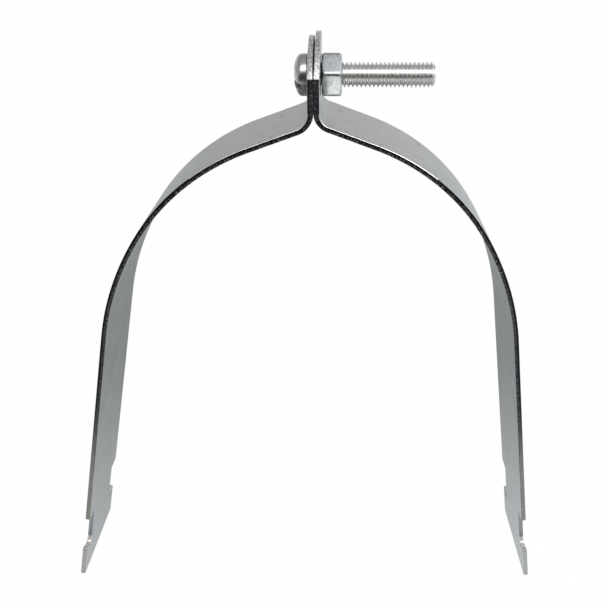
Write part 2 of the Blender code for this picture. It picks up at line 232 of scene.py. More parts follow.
def build_mesh(name, points, quads, slots, materials, blank=None, tone_and_reflection=None):
    """A closed mesh from grids of quads, with its doubles merged and its faces turned outwards.

    A quad that loses a corner becomes a triangle. blank holds each point's place on the flat strip. The
    last argument tells how far an edge has gone from dark to pale, partly the steel's own colour and partly
    painted reflection.
    """
    first, quads, same = weld(points, quads)
    whole = ~same.any(axis=1)
    short = same.sum(axis=1) == 1
    loops = np.concatenate([quads[whole].reshape(-1), quads[short][~same[short]]])
    used, loops = np.unique(loops, return_inverse=True)
    first = first[used]
    sizes = np.concatenate([np.full(whole.sum(), 4), np.full(short.sum(), 3)])
    starts = np.concatenate([[0], np.cumsum(sizes)[:-1]])
    order = np.concatenate([slots[whole], slots[short]])
    mesh = bpy.data.meshes.new(name)
    mesh.vertices.add(len(first))
    mesh.loops.add(len(loops))
    mesh.polygons.add(len(sizes))
    mesh.vertices.foreach_set("co", points[first].astype(np.float32).reshape(-1))
    mesh.loops.foreach_set("vertex_index", loops.reshape(-1).astype(np.int32))
    for field, values in (("loop_start", starts), ("loop_total", sizes), ("material_index", order)):
        mesh.polygons.foreach_set(field, values.astype(np.int32))
    if blank is not None:
        layer = mesh.attributes.new("blank", "FLOAT_VECTOR", "POINT")
        layer.data.foreach_set("vector", blank[first].astype(np.float32).reshape(-1))
    if tone_and_reflection is not None:
        layer = mesh.attributes.new("tone_and_reflection", "FLOAT", "POINT")
        layer.data.foreach_set("value", tone_and_reflection[first].astype(np.float32))
    mesh.update(calc_edges=True)
    turned = bmesh.new()
    turned.from_mesh(mesh)
    bmesh.ops.recalc_face_normals(turned, faces=turned.faces)
    turned.to_mesh(mesh)
    turned.free()
    for material in materials:
        mesh.materials.append(material)
    mesh.shade_smooth()
    return mesh


def grid_quads(rows, columns, start=0):
    """Quads of an open grid of points, given row by row."""
    row, column = np.meshgrid(np.arange(rows - 1), np.arange(columns - 1), indexing="ij")
    corner = (start + row * columns + column).reshape(-1)
    return np.stack([corner, corner + 1, corner + columns + 1, corner + columns], axis=1)


class Patches:
    """Grids of points that share one mesh."""

    def __init__(self):
        self.points = []
        self.quads = []
        self.slots = []
        self.count = 0

    def add(self, grid, slot):
        """Adds a grid of shape (rows, columns, 3), with one slot or one for each column of faces."""
        rows, columns = grid.shape[:2]
        faces = grid_quads(rows, columns, self.count)
        slots = np.broadcast_to(np.asarray(slot), (rows - 1, columns - 1)).reshape(-1)
        self.points.append(grid.reshape(-1, 3))
        self.quads.append(faces)
        self.slots.append(slots)
        self.count += rows * columns

    def joined(self):
        """All points, quads and slots as arrays."""
        return np.concatenate(self.points), np.concatenate(self.quads), np.concatenate(self.slots)


def chain(corners, spacing, arc_steps=7):
    """A path through (across, up, radius) corners, with arcs for the radii, and its outward normals.

    A straight stretch is divided evenly. An arc turns the normal evenly from one stretch to the next.
    """
    places = np.array([corner[:2] for corner in corners])
    runs = np.diff(places, axis=0)
    lengths = np.linalg.norm(runs, axis=1)
    ways = runs / lengths[:, None]
    points, normals = [], []
    begin = places[0]
    for index, way in enumerate(ways):
        outward = np.array([way[1], -way[0]])
        last = index == len(ways) - 1
        end, turn = places[index + 1], 0.0
        if not last and corners[index + 1][2] > 0.0:
            after = ways[index + 1]
            turn = math.atan2(way[0] * after[1] - way[1] * after[0], way @ after)
            radius = corners[index + 1][2]
            end = end - way * radius * math.tan(abs(turn) / 2.0)
        count = max(1, math.ceil(np.linalg.norm(end - begin) / spacing))
        steps = np.linspace(0.0, 1.0, count + 1)[:, None]
        points.append(begin + steps * (end - begin))
        normals.append(np.repeat(outward[None], count + 1, axis=0))
        begin = places[index + 1]
        if turn:
            angle = turn * np.linspace(0.0, 1.0, arc_steps + 1)[1:-1]
            sideways = np.array([-outward[1], outward[0]])
            spun = np.outer(np.cos(angle), outward) + np.outer(np.sin(angle), sideways)
            reach = math.copysign(radius, turn)
            points.append(end - outward * reach + spun * reach)
            normals.append(spun)
            begin = places[index + 1] + after * radius * math.tan(abs(turn) / 2.0)
    return np.concatenate(points), np.concatenate(normals)


def advance(x, z, heading, rate, run):
    """The place and the heading after a run of path that turns at an even rate."""
    turned = heading + rate * run
    if rate:
        step_x = (np.sin(turned) - math.sin(heading)) / rate
        step_z = (np.cos(turned) - math.cos(heading)) / rate
    else:
        step_x, step_z = run * math.cos(heading), -run * math.sin(heading)
    return x + step_x, z + step_z, turned


class Bend:
    """Carries the flat strip onto the bent strap.

    The strip's inner face follows a path of straight runs and arcs from the ear to the foot. A point of
    the blank is (across, up, through): its distance across the strip, up from the foot along the inner
    face, and outwards through the sheet. It goes to the path's point at that length, plus the path's
    outward normal times its depth through the sheet. The ear's inner face is drawn to its twin round the
    screw, and the ear's top leans to the screw's tip by a power of its height.
    """

    CLOSED_BELOW = 1.0 * MM
    OPEN_BELOW = 3.0 * MM
    OPEN_ABOVE = 4.0 * MM
    LEAN_REACH = 9.0 * MM
    LEAN_POWER = 1.5

    def __init__(self, strap, curve, side):
        half = 1 if side > 0 else 0
        self.side = side
        self.strap = strap
        self.lean = curve.ear_lean[half]
        self.parting = abs((LEFT_HIGH.x, RIGHT_LOW.x)[half] - PARTING_PLANE)
        root_turn = math.pi / 2.0 - curve.root_slope[half]
        self.bends = [
            ((curve.bend_radius[half] + strap.sheet) * root_turn, -root_turn),
            (curve.shoulder[half], 0.0),
            (curve.crown[half], curve.crown_turn[half]),
            (curve.flank[half], curve.flank_turn[half]),
        ]
        x, z, heading, run = self.parting, -strap.ear_drop, math.pi / 2.0, strap.ear_drop
        self.stations = []
        for length, turn in self.bends:
            rate = turn / length
            self.stations.append((run, x, z, heading, rate))
            x, z, heading = advance(x, z, heading, rate, length)
            run += length
        self.stations.append((run, x, z, heading, 0.0))
        self.leg = (z + SCREW_AXIS_Z) / math.sin(heading)
        self.total = run + self.leg

    def carry(self, blank):
        """World points for an array of blank points."""
        run = self.total - blank[..., 1]
        x = np.full(run.shape, self.parting)
        z = -run
        heading = np.full(run.shape, math.pi / 2.0)
        for start, *station in self.stations:
            there = advance(*station, run - start)
            x, z, heading = (np.where(run > start, new, old) for new, old in zip(there, (x, z, heading)))
        below = (self.OPEN_BELOW + self.strap.ear_drop - run) / (self.OPEN_BELOW - self.CLOSED_BELOW)
        above = 1.0 + run / self.OPEN_ABOVE
        inner = 1.0 - blank[..., 2] / self.strap.sheet
        closed = self.strap.ear_close * inner * np.clip(below, 0.0, 1.0) * np.clip(above, 0.0, 1.0)
        depth = blank[..., 2] - closed
        lean = self.lean * (np.maximum(-run, 0.0) / self.LEAN_REACH) ** self.LEAN_POWER
        world_x = PARTING_PLANE + self.side * (x + np.sin(heading) * depth) + lean
        world_z = SCREW_AXIS_Z + z + np.cos(heading) * depth
        return np.stack([world_x, blank[..., 0], world_z], axis=-1)


OUTLINE_SPACING = 1.2 * MM
FOOT_TOP_SHARE = 1.8  # of the notch's top
MIDDLE_SHARES = (0.0, 0.07, 0.14, 0.30, 1.0, 1.12)  # of the notch's top, for each corner of the foot


def foot_chain(strap, top):
    """Half outline of the foot, from the middle of its end round the hook and the notch to a plain row.

    Also gives the middle line's height that each outline point is joined to, so that the fan of lines
    between them stays on the strip.
    """
    half = strap.width / 2.0
    neck = strap.neck / 2.0
    corners = [
        (0.0, 0.0, 0.0),
        (half, 0.0, strap.foot_corner),
        (half, strap.hook_tip, strap.edge_corner),
        (neck, strap.hook_neck, strap.hook_fillet),
        (neck, strap.notch_top, strap.notch_fillet),
        (half, strap.notch_top, strap.edge_corner),
        (half, top, 0.0),
    ]
    points, normals = chain(corners, OUTLINE_SPACING)
    walked = np.concatenate([[0.0], np.cumsum(np.linalg.norm(np.diff(points, axis=0), axis=1))])
    marks = [np.argmin(np.linalg.norm(points - corner[:2], axis=1)) for corner in corners]
    heights = np.append(np.array(MIDDLE_SHARES) * strap.notch_top, top)
    return points, normals, np.interp(walked, walked[marks], heights)


def arc(centre, radius, begin, end, count):
    """Points of an arc between two angles, without the first one, and their outward normals."""
    turn = np.linspace(begin, end, count + 1)[1:]
    spun = np.stack([np.cos(turn), np.sin(turn)], axis=1)
    return np.array(centre) + radius * spun, spun


def ear_chain(strap, bottom, axis, top):
    """Half outline of the ear: up its side, round its corner and along the arc of its end."""
    half = strap.width / 2.0
    corner = axis + strap.ear_corner_rise
    rise = top - corner
    radius = (half * half + rise * rise) / (2.0 * rise)
    centre = top - radius
    small = strap.ear_corner
    turn_up = centre + math.sqrt((radius - small) ** 2 - (half - small) ** 2)
    rows = np.linspace(bottom, turn_up, 12)
    side = np.stack([np.full(rows.shape, half), rows], axis=1)
    last = math.atan2(turn_up - centre, half - small)
    rounded, rounded_out = arc((half - small, turn_up), small, 0.0, last, 7)
    end, end_out = arc((0.0, centre), radius, last, math.pi / 2.0, 32)
    side_out = np.tile([1.0, 0.0], (len(side), 1))
    return np.concatenate([side, rounded, end]), np.concatenate([side_out, rounded_out, end_out])


def edge_profile(strap, steps=5):
    """Section of the sheared edge from the inner face to the outer one, as inset and depth.

    A small round at the burr, the straight sheared wall, and a wider round at the rollover. Also gives
    the faces' slots, for the stretches near the root bend and for the others: 1 is the sheared edge, 2
    the rollover's painted highlight, a lighter line which is wider near the root bend, and 0 the plating.
    """
    quarter = np.linspace(0.0, math.pi / 2.0, steps + 1)
    rise, fall = 1.0 - np.sin(quarter), 1.0 - np.cos(quarter)
    burr = np.stack([strap.burr * rise, strap.burr * fall], axis=1)
    roll = np.stack([strap.rollover * fall, strap.sheet - strap.rollover * rise], axis=1)
    profile = np.concatenate([burr, roll])
    arch = np.zeros(len(profile) - 1, dtype=int)
    plain = arch.copy()
    arch[:steps + 2] = 1
    arch[steps + 2:-1] = 2
    plain[:-2] = 1
    plain[-2] = 2
    return profile, arch, plain


LEG_ROWS = 23
FEWEST_ROWS = 8  # in a bend
ROW_TURNS = (math.radians(5.0), 1.0, math.radians(1.0), math.radians(1.0))  # the most in one row
COLUMNS = np.array([0.0, 0.2, 0.4, 0.6, 0.8, 0.93, 0.985, 1.0])  # from the middle line to the edge
RINGS = np.array([0.0, 0.04, 0.3, 0.6, 0.85, 0.96, 1.0])  # from the screw hole outwards


def strap_surface(strap, curve, side, ear_top):
    """One strap as grids on the flat strip, with the bend that carries them.

    Each face is a fan between the outline and the middle line, with a ring round the screw hole. The
    sheared edge is the edge section carried round the outline. Both are made for one half of the width
    and mirrored.
    """
    bend = Bend(strap, curve, side)
    half = strap.width / 2.0
    axis = bend.total
    ear_bottom = axis - strap.ear_drop
    foot_top = strap.notch_top * FOOT_TOP_SHARE
    foot, foot_out, foot_middle = foot_chain(strap, foot_top)
    rows = [np.linspace(foot_top, bend.leg, LEG_ROWS + 1)[1:]]
    run = bend.leg
    for (length, turn), most in zip(reversed(bend.bends), reversed(ROW_TURNS)):
        count = max(FEWEST_ROWS, math.ceil(abs(turn) / most))
        rows.append(run + np.linspace(0.0, length, count + 1)[1:])
        run += length
    rows = np.concatenate(rows)
    rows[-1] = ear_bottom
    ear, ear_out = ear_chain(strap, ear_bottom, axis, axis + ear_top)

    outline = np.concatenate([foot, np.stack([np.full(rows.shape, half), rows], axis=1)])
    outward = np.concatenate([foot_out, np.tile([1.0, 0.0], (len(rows), 1))])
    middle = np.concatenate([foot_middle, rows])
    centre = np.array([0.0, axis])
    patches = Patches()

    def add(flat, through, slot):
        depth = np.broadcast_to(through, flat.shape[:2])
        for mirror in (1.0, -1.0):
            patches.add(np.stack([flat[..., 0] * mirror, flat[..., 1], depth], axis=-1), slot)

    rims = []
    for inset, depth in ((strap.burr, 0.0), (strap.rollover, strap.sheet)):
        rim = outline - outward * inset
        core = np.stack([np.zeros(len(rim)), np.maximum(middle, inset)], axis=1)
        add(core[:, None] + COLUMNS[None, :, None] * (rim - core)[:, None], depth, 0)
        base = np.stack([COLUMNS * (half - inset), np.full(COLUMNS.shape, ear_bottom)], axis=1)
        around = np.concatenate([base, (ear - ear_out * inset)[1:]])
        way = around - centre
        way /= np.linalg.norm(way, axis=1)[:, None]
        hole = centre + way * strap.hole / 2.0
        add(hole[:, None] + RINGS[None, :, None] * (around - hole)[:, None], depth, 0)
        rims.append(hole)
    add(np.stack(rims, axis=1), np.array([0.0, strap.sheet]), 1)

    profile, arch, plain = edge_profile(strap)
    whole = np.concatenate([outline, ear[1:]])
    whole_out = np.concatenate([outward, ear_out[1:]])
    band = whole[:, None] - whole_out[:, None] * profile[None, :, :1]
    # Near the root bend the painted highlight is wider along the rollover.
    near = (whole[:-1, 1] > axis - strap.highlighted) & (whole[:-1, 1] < ear_bottom)
    add(band, profile[:, 1], np.where(near[:, None], arch, plain))
    return bend, patches.joined()


def eased(value):
    """A value kept between 0 and 1 that starts and ends smoothly."""
    value = np.clip(value, 0.0, 1.0)
    return value * value * (3.0 - 2.0 * value)


# Where the edge's painted reflection starts to turn it pale down the leg, and over what run.
REFLECTION_PALE_FROM = 0.86  # of the leg's length, going down
REFLECTION_PALE_RUN = 0.5  # of the leg's length


def edge_tone_and_reflection(bend, strap, blank):
    """How pale the sheared edge is, by smooth steps along the strip.

    0 round the arch, 1 down the leg, -0.5 up the ear's sides and 2 on the rounded end of the ear. The step
    from 0 round the arch to 1 down the leg is partly the steel's own colour and partly painted reflection.
    """
    up = blank[:, 1]
    leg = eased((bend.leg * REFLECTION_PALE_FROM - up) / (bend.leg * REFLECTION_PALE_RUN))
    corner = bend.total + strap.ear_corner_rise
    end = np.clip((up - corner + 0.2 * MM) / (0.4 * MM), 0.0, 1.0)
    ear = np.clip((up - bend.total + strap.ear_drop + 4.0 * MM) / (4.0 * MM), 0.0, 1.0)
    return leg - 0.5 * ear + 2.5 * end


HEAD_SIDES = 456
DOME_ROWS = 120
HEAD_RIM = 0.18 * MM  # rounding of the head's lower rim
SLOT_STEP = 0.12 * MM  # width of the soft step beside a slot
RECESS_FROM = 0.04 * MM  # depth at which the recess begins


def head_surface(screw, bearing, radius):
    """The pan head as a polar grid over its axis.

    The dome is a superellipse: one less the radius to a power, and the root of that. The slot and the
    cross slot sink it by a smooth step over their half widths. The side is straight, its lower rim is
    rounded, and the bearing face closes it. Also tells which faces belong to the recess.
    """
    around = np.linspace(0.0, 2.0 * math.pi, HEAD_SIDES + 1)
    dome_r = radius * np.sin(np.linspace(0.0, math.pi / 2.0, DOME_ROWS))
    rise = (1.0 - (dome_r / radius) ** screw.dome_power) ** (1.0 / screw.dome_power)
    dome_h = screw.head_side + (screw.head_height - screw.head_side) * rise
    corner = np.linspace(0.0, math.pi / 2.0, 6)
    low_r = radius - HEAD_RIM * (1.0 - np.cos(corner))
    low_h = HEAD_RIM * (1.0 - np.sin(corner))
    radii = np.concatenate([dome_r, low_r, [0.9 * radius, 0.0]])
    heights = np.concatenate([dome_h, low_h, [0.0, 0.0]])
    top = np.concatenate([np.ones(len(dome_r)), np.zeros(len(low_r) + 2)])

    front = np.cos(around)[None] * radii[:, None]
    high = np.sin(around)[None] * radii[:, None]
    turned = math.pi + screw.slot_turn
    along = front * math.cos(turned) + high * math.sin(turned)
    beside = -front * math.sin(turned) + high * math.cos(turned)
    slot = screw.slot_width / 2.0

    def within(distance, limit):
        return eased(0.5 - (np.abs(distance) - limit) / SLOT_STEP)

    floor = screw.head_height - screw.slot_depth
    cross_floor = screw.head_height - screw.cross_depth
    height = np.broadcast_to(heights[:, None], front.shape).copy()
    slot_mask = within(beside, slot) * top[:, None]
    cross_mask = within(along, slot) * within(beside, screw.cross_length / 2.0) * top[:, None]
    whole = height.copy()
    height -= slot_mask * np.maximum(height - floor, 0.0)
    height -= cross_mask * np.maximum(height - cross_floor, 0.0)
    sunk = whole - height > RECESS_FROM
    recess = sunk[:-1, :-1] | sunk[1:, :-1] | sunk[:-1, 1:] | sunk[1:, 1:]
    return np.stack([bearing - height, front, SCREW_AXIS_Z + high], axis=-1), recess


PITCH_ROWS = 18
THREAD_SIDES = 72
CREST_SHARE = 0.14  # of half a pitch
FLANK_SHARE = 0.62  # of half a pitch
TIP_SLOPE = 1.15


def thread_surface(screw, start, tip):
    """The threaded shank as a grid along and around its axis.

    The radius falls from the crest to the root and back once in every pitch, with straight flanks and
    narrow flats, and the crest moves on by one pitch in each turn. A cone trims it at the tip.
    """
    count = math.ceil((tip - start) / screw.pitch * PITCH_ROWS)
    along = np.linspace(start, tip, count + 1)
    around = np.linspace(0.0, 2.0 * math.pi, THREAD_SIDES + 1)
    phase = along[:, None] / screw.pitch - around[None] / (2.0 * math.pi)
    wave = np.abs(phase - np.round(phase)) * 2.0
    cut = np.clip((wave - CREST_SHARE) / FLANK_SHARE, 0.0, 1.0)
    radius = screw.diameter / 2.0 - screw.depth * cut
    cone = screw.diameter / 2.0 - screw.chamfer + (tip - along[:, None]) * TIP_SLOPE
    radius = np.minimum(radius, cone)
    x = np.broadcast_to(along[:, None], radius.shape)
    shell = np.stack([x, radius * np.cos(around), SCREW_AXIS_Z + radius * np.sin(around)], axis=-1)
    centre = np.broadcast_to([0.0, 0.0, SCREW_AXIS_Z], (1,) + shell.shape[1:])
    first = centre + np.array([start, 0.0, 0.0])
    last = centre + np.array([tip, 0.0, 0.0])
    return np.concatenate([first, shell, last])


HALF_SIDE = 30.0  # degrees
CORNER_FROM = 24.0  # degrees from the middle of a side


def nut_surface(nut, low, high):
    """The nut as a grid round its axis.

    The outer radius at an angle is that of a hexagon with rounded corners, whose corners face the front
    and the back. A cone from the flat ring on each end trims it. The bore has a coned mouth at each end.
    """
    corner = np.linspace(CORNER_FROM, HALF_SIDE, 13)
    sector = np.concatenate([-corner[::-1], np.linspace(-CORNER_FROM, CORNER_FROM, 17)[1:-1], corner[:-1]])
    first = 90.0 - math.degrees(nut.turn)
    degrees = np.concatenate([sector + first + 2.0 * HALF_SIDE * index for index in range(6)])
    around = np.radians(np.append(degrees, degrees[0] + 360.0))
    off_flat = np.radians(np.append(np.tile(sector, 6), sector[0]))
    half = nut.flats / 2.0
    ends = half / np.cos(off_flat)
    half_side = math.radians(HALF_SIDE)
    corner_at = (half - nut.corner) / math.cos(half_side)
    off_corner = half_side - np.abs(off_flat)
    across = corner_at * np.sin(off_corner)
    rounded = corner_at * np.cos(off_corner) + np.sqrt(np.maximum(nut.corner ** 2 - across ** 2, 0.0))
    outer = np.where(np.abs(across) < nut.corner * math.sin(half_side), rounded, ends)

    ring = nut.face / 2.0
    bore = nut.bore / 2.0
    mouth = bore + nut.lead_in
    drop = np.maximum(outer - ring, 0.0) * math.tan(nut.cone)
    reach = nut.shoulder * math.tan((math.pi / 2.0 - nut.cone) / 2.0)
    share = np.linspace(0.0, 1.0, 7)[:, None]
    cone_r, cone_x = outer - reach * math.cos(nut.cone), drop - reach * math.sin(nut.cone)
    arc_r = (1.0 - share) ** 2 * cone_r + (1.0 - (1.0 - share) ** 2) * outer
    arc_x = (1.0 - share) ** 2 * cone_x + 2.0 * share * (1.0 - share) * drop + share ** 2 * (drop + reach)
    plain = np.ones(outer.shape)
    inner = [(bore, nut.lead_in), (mouth, 0.0), (0.5 * (mouth + ring), 0.0), (ring, 0.0)]
    half_r = np.concatenate([[radius * plain for radius, _ in inner], arc_r])
    half_x = np.concatenate([[rise * plain for _, rise in inner], arc_x])
    radius = np.concatenate([half_r, half_r[::-1], half_r[:1]])
    x = np.concatenate([low + half_x, high - half_x[::-1], low + half_x[:1]])
    return np.stack([x, radius * np.cos(around), SCREW_AXIS_Z + radius * np.sin(around)], axis=-1)


class Nodes:
    """Short ways to add nodes to a tree."""

    def __init__(self, tree):
        self.tree = tree

    def put(self, kind, **settings):
        """A node with its plain settings."""
        node = self.tree.nodes.new(kind)
        for name, value in settings.items():
            setattr(node, name, value)
        return node

    def feed(self, value, slot):
        """Gives an input another node's output to follow, a number or a colour."""
        if isinstance(value, bpy.types.NodeSocket):
            self.tree.links.new(value, slot)
        elif isinstance(value, (int, float)):
            slot.default_value = value
        else:
            slot.default_value = (*value, 1.0)

    def fed(self, kind, **values):
        """A node whose inputs of these names are fed, with an underscore for a space."""
        node = self.put(kind)
        for name, value in values.items():
            self.feed(value, node.inputs[name.replace("_", " ")])
        return node

    def noise(self, vector, scale, detail, roughness):
        """A noise texture, with one scale or one for each axis."""
        if isinstance(scale, tuple):
            mapping = self.fed("ShaderNodeMapping", Vector=vector)
            mapping.inputs["Scale"].default_value = scale
            vector, scale = mapping.outputs["Vector"], 1.0
        node = self.fed("ShaderNodeTexNoise", Vector=vector, Scale=scale, Detail=detail, Roughness=roughness)
        return node.outputs["Fac"]

    def remap(self, value, low, high, to_low=0.0, to_high=1.0):
        """A smooth step of the value from one range to another."""
        limits = {"From_Min": low, "From_Max": high, "To_Min": to_low, "To_Max": to_high}
        node = self.fed("ShaderNodeMapRange", Value=value, **limits)
        node.interpolation_type = "SMOOTHSTEP"
        return node.outputs["Result"]

    def calculate(self, operation, first, second=0.0):
        """One sum on two values."""
        node = self.put("ShaderNodeMath", operation=operation)
        self.feed(first, node.inputs[0])
        self.feed(second, node.inputs[1])
        return node.outputs["Value"]

    def times(self, first, *others):
        """The product of the values."""
        for other in others:
            first = self.calculate("MULTIPLY", first, other)
        return first

    def plus(self, first, *others):
        """The sum of the values."""
        for other in others:
            first = self.calculate("ADD", first, other)
        return first

    def mix(self, factor, first, second, mode="MIX"):
        """A mix of two colours."""
        node = self.put("ShaderNodeMix", data_type="RGBA", blend_type=mode)
        for name, value in (("Factor", factor), ("A", first), ("B", second)):
            self.feed(value, next(slot for slot in node.inputs if slot.name == name and slot.enabled))
        return next(slot for slot in node.outputs if slot.name == "Result" and slot.enabled)

    def grey(self, value, tint=(1.0, 1.0, 1.0)):
        """A grey of this value, times a tint."""
        red, green, blue = (self.times(value, share) for share in tint)
        return self.fed("ShaderNodeCombineColor", Red=red, Green=green, Blue=blue).outputs["Color"]

    def bump(self, height, distance, strength=1.0):
        """A normal from a height."""
        node = self.fed("ShaderNodeBump", Height=height, Distance=distance, Strength=strength)
        return node.outputs["Normal"]

    def split(self, vector):
        """The three values of a vector."""
        return self.fed("ShaderNodeSeparateXYZ", Vector=vector).outputs


def plating_group():
    """Zinc plating: cloudy patches, fine grain, streaks and faint handling marks on any coordinates."""
    name = "zinc_plating"
    if name in bpy.data.node_groups:
        return bpy.data.node_groups[name]
    group = bpy.data.node_groups.new(name, "ShaderNodeTree")
    for way, kind, names in (
        ("INPUT", "NodeSocketVector", ("Vector",)),
        ("INPUT", "NodeSocketColor", ("Tint",)),
        ("INPUT", "NodeSocketFloat", ("Roughness", "Cloud", "Marks", "Grain")),
        ("OUTPUT", "NodeSocketColor", ("Color",)),
        ("OUTPUT", "NodeSocketFloat", ("Roughness", "Height")),
    ):
        for socket_name in names:
            group.interface.new_socket(name=socket_name, in_out=way, socket_type=kind)
    nodes = Nodes(group)
    given = nodes.put("NodeGroupInput").outputs
    result = nodes.put("NodeGroupOutput").inputs
    vector = given["Vector"]

    clouds = nodes.plus(nodes.noise(vector, 120.0, 4.0, 0.6), -0.5)
    grain = nodes.noise(vector, 1500.0, 4.0, 0.7)
    streaks = nodes.noise(vector, (700.0, 45.0, 700.0), 3.0, 0.6)
    patches = nodes.noise(vector, (210.0, 420.0, 210.0), 2.0, 0.5)
    wander = nodes.noise(vector, 110.0, 3.0, 0.55)
    line = nodes.remap(nodes.calculate("ABSOLUTE", nodes.plus(wander, -0.47)), 0.0, 0.016, 1.0, 0.0)
    marks = nodes.times(nodes.remap(patches, 0.52, 0.66), line)

    level = nodes.plus(
        nodes.times(clouds, given["Cloud"]),
        nodes.times(nodes.plus(grain, -0.5), given["Grain"]),
        nodes.times(nodes.plus(streaks, -0.5), 0.20),
        1.0,
    )
    level = nodes.calculate("SUBTRACT", level, nodes.times(marks, given["Marks"]))
    nodes.feed(nodes.mix(1.0, given["Tint"], nodes.grey(level), "MULTIPLY"), result["Color"])
    rougher = nodes.times(nodes.plus(clouds, marks), 0.16)
    nodes.feed(nodes.plus(given["Roughness"], rougher), result["Roughness"])
    nodes.feed(nodes.plus(nodes.times(grain, 0.5), streaks), result["Height"])
    return group


def new_material(name, roughness):
    """A metallic Principled material, with its nodes and its shader's inputs."""
    made = bpy.data.materials.new(name)
    made.use_nodes = True
    shader = made.node_tree.nodes["Principled BSDF"].inputs
    shader["Metallic"].default_value = 1.0
    shader["Roughness"].default_value = roughness
    return made, Nodes(made.node_tree), shader


def plated_material(name, tint, roughness, cloud, marks, grain=0.16, on_blank=False):
    """Zinc plated steel. The pattern follows the flat strip where the piece has one."""
    made, nodes, shader = new_material(name, roughness)
    if on_blank:
        source = nodes.put("ShaderNodeAttribute", attribute_name="blank").outputs["Vector"]
    else:
        source = nodes.put("ShaderNodeTexCoord").outputs["Object"]
    plating = nodes.put("ShaderNodeGroup", node_tree=plating_group())
    values = {"Vector": source, "Tint": tint, "Roughness": roughness}
    values.update({"Cloud": cloud, "Marks": marks, "Grain": grain})
    for socket_name, value in values.items():
        nodes.feed(value, plating.inputs[socket_name])
    nodes.feed(plating.outputs["Color"], shader["Base Color"])
    nodes.feed(plating.outputs["Roughness"], shader["Roughness"])
    nodes.feed(nodes.bump(plating.outputs["Height"], 0.012 * MM), shader["Normal"])
    return made


def sheared_material(name, finish, strap):
    """The sheared edge, drawn on the flat strip.

    Its outer half is smooth and the inner one torn. It is dark with bright flecks round the arch,
    grey-brown with fine lines down the leg, bluish between the notches, lighter on the hook and mottled
    grey on the rounded end of the ear. Its step from dark round the arch to grey-brown down the leg is
    partly the steel's own colour and partly painted reflection. The bright band on the hook's upper side
    is a painted highlight.
    """
    made, nodes, shader = new_material(name, 0.4)
    blank = nodes.put("ShaderNodeAttribute", attribute_name="blank").outputs["Vector"]
    tone_and_reflection = nodes.put("ShaderNodeAttribute", attribute_name="tone_and_reflection").outputs["Fac"]
    across, up, through = nodes.split(blank)
    torn = nodes.noise(blank, (1500.0, 1500.0, 700.0), 3.0, 0.6)
    lines = nodes.noise(blank, (900.0, 90.0, 4200.0), 2.0, 0.5)
    specks = nodes.noise(blank, (3000.0, 2600.0, 3500.0), 2.0, 0.6)
    pits = nodes.noise(blank, 1700.0, 4.0, 0.7)

    # From the dark arch to the pale leg: partly the steel's own colour, partly painted reflection.
    leg = nodes.remap(tone_and_reflection, 0.0, 1.0)
    arch_torn = nodes.mix(nodes.remap(torn, 0.40, 0.75), finish.torn_low, finish.torn_high)
    grain = nodes.plus(nodes.times(torn, 0.45), nodes.times(lines, 0.55))
    leg_torn = nodes.mix(nodes.remap(grain, 0.38, 0.62), finish.leg_low, finish.leg_high)
    sliced = nodes.mix(leg, finish.arch_sliced, finish.leg_sliced)
    outer = nodes.remap(through, strap.sheet * 0.46, strap.sheet * 0.62)
    colour = nodes.mix(outer, nodes.mix(leg, arch_torn, leg_torn), sliced)

    half = strap.width / 2.0
    inside = nodes.remap(nodes.calculate("ABSOLUTE", across), half - 0.2 * MM, half - 0.8 * MM)
    colour = nodes.mix(nodes.times(inside, leg), colour, finish.neck_edge)
    colour = nodes.mix(nodes.remap(tone_and_reflection, -0.5, -0.1, 0.8, 0.0), colour, finish.ear_side)
    flecks = nodes.times(
        nodes.remap(specks, 0.56, 0.68, 0.0, 0.9),
        nodes.remap(up, 70.0 * MM, 115.0 * MM, 0.15, 1.0),
        nodes.remap(outer, 0.0, 1.0, 1.0, 0.2),
    )
    colour = nodes.mix(flecks, colour, finish.fleck_and_highlight)
    hook = nodes.remap(up, strap.hook_tip, strap.hook_tip * 0.85, 0.0, 0.9)
    colour = nodes.mix(hook, colour, finish.hook_edge)
    # Painted highlight: a bright band on the hook's upper side, below the notch.
    under = nodes.remap(up, strap.hook_tip + 0.3 * MM, strap.hook_tip - 0.2 * MM)
    over = nodes.remap(up, strap.hook_neck * 0.5, strap.hook_neck * 0.9, 0.0, 0.9)
    colour = nodes.mix(nodes.times(inside, under, over), colour, finish.fleck_and_highlight)
    ear_end = nodes.mix(nodes.remap(pits, 0.38, 0.62), finish.ear_end_low, finish.ear_end_high)
    colour = nodes.mix(nodes.remap(tone_and_reflection, 1.2, 1.9), colour, ear_end)
    nodes.feed(colour, shader["Base Color"])
    nodes.feed(nodes.remap(torn, 0.2, 0.8, 0.30, 0.52), shader["Roughness"])
    height = nodes.plus(torn, nodes.times(pits, 0.6))
    nodes.feed(nodes.bump(height, 0.05 * MM, 0.8), shader["Normal"])
    return made


def recess_shade_material(name, finish):
    """The head's recess: rough, darkened as painted shade, with a few bright specks as painted glints."""
    made, nodes, shader = new_material(name, 0.45)
    place = nodes.put("ShaderNodeTexCoord").outputs["Object"]
    rough = nodes.noise(place, 1300.0, 3.0, 0.6)
    ground = nodes.mix(nodes.remap(rough, 0.35, 0.65), finish.recess_shade_low, finish.recess_shade_high)
    # The bright specks are painted glints.
    specks = nodes.remap(nodes.noise(place, 1900.0, 1.5, 0.5), 0.51, 0.57)
    nodes.feed(nodes.mix(specks, ground, finish.fleck_and_highlight), shader["Base Color"])
    nodes.feed(nodes.bump(rough, 0.08 * MM), shader["Normal"])
    return made


def add_piece(name, mesh, body, node, sharp):
    """A finished piece: it rides on its body and stands for its node, which is hidden."""
    mesh.set_sharp_from_angle(angle=math.radians(sharp))
    piece = bpy.data.objects.new(name, mesh)
    bpy.context.scene.collection.objects.link(piece)
    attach(piece, body)
    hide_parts(node)


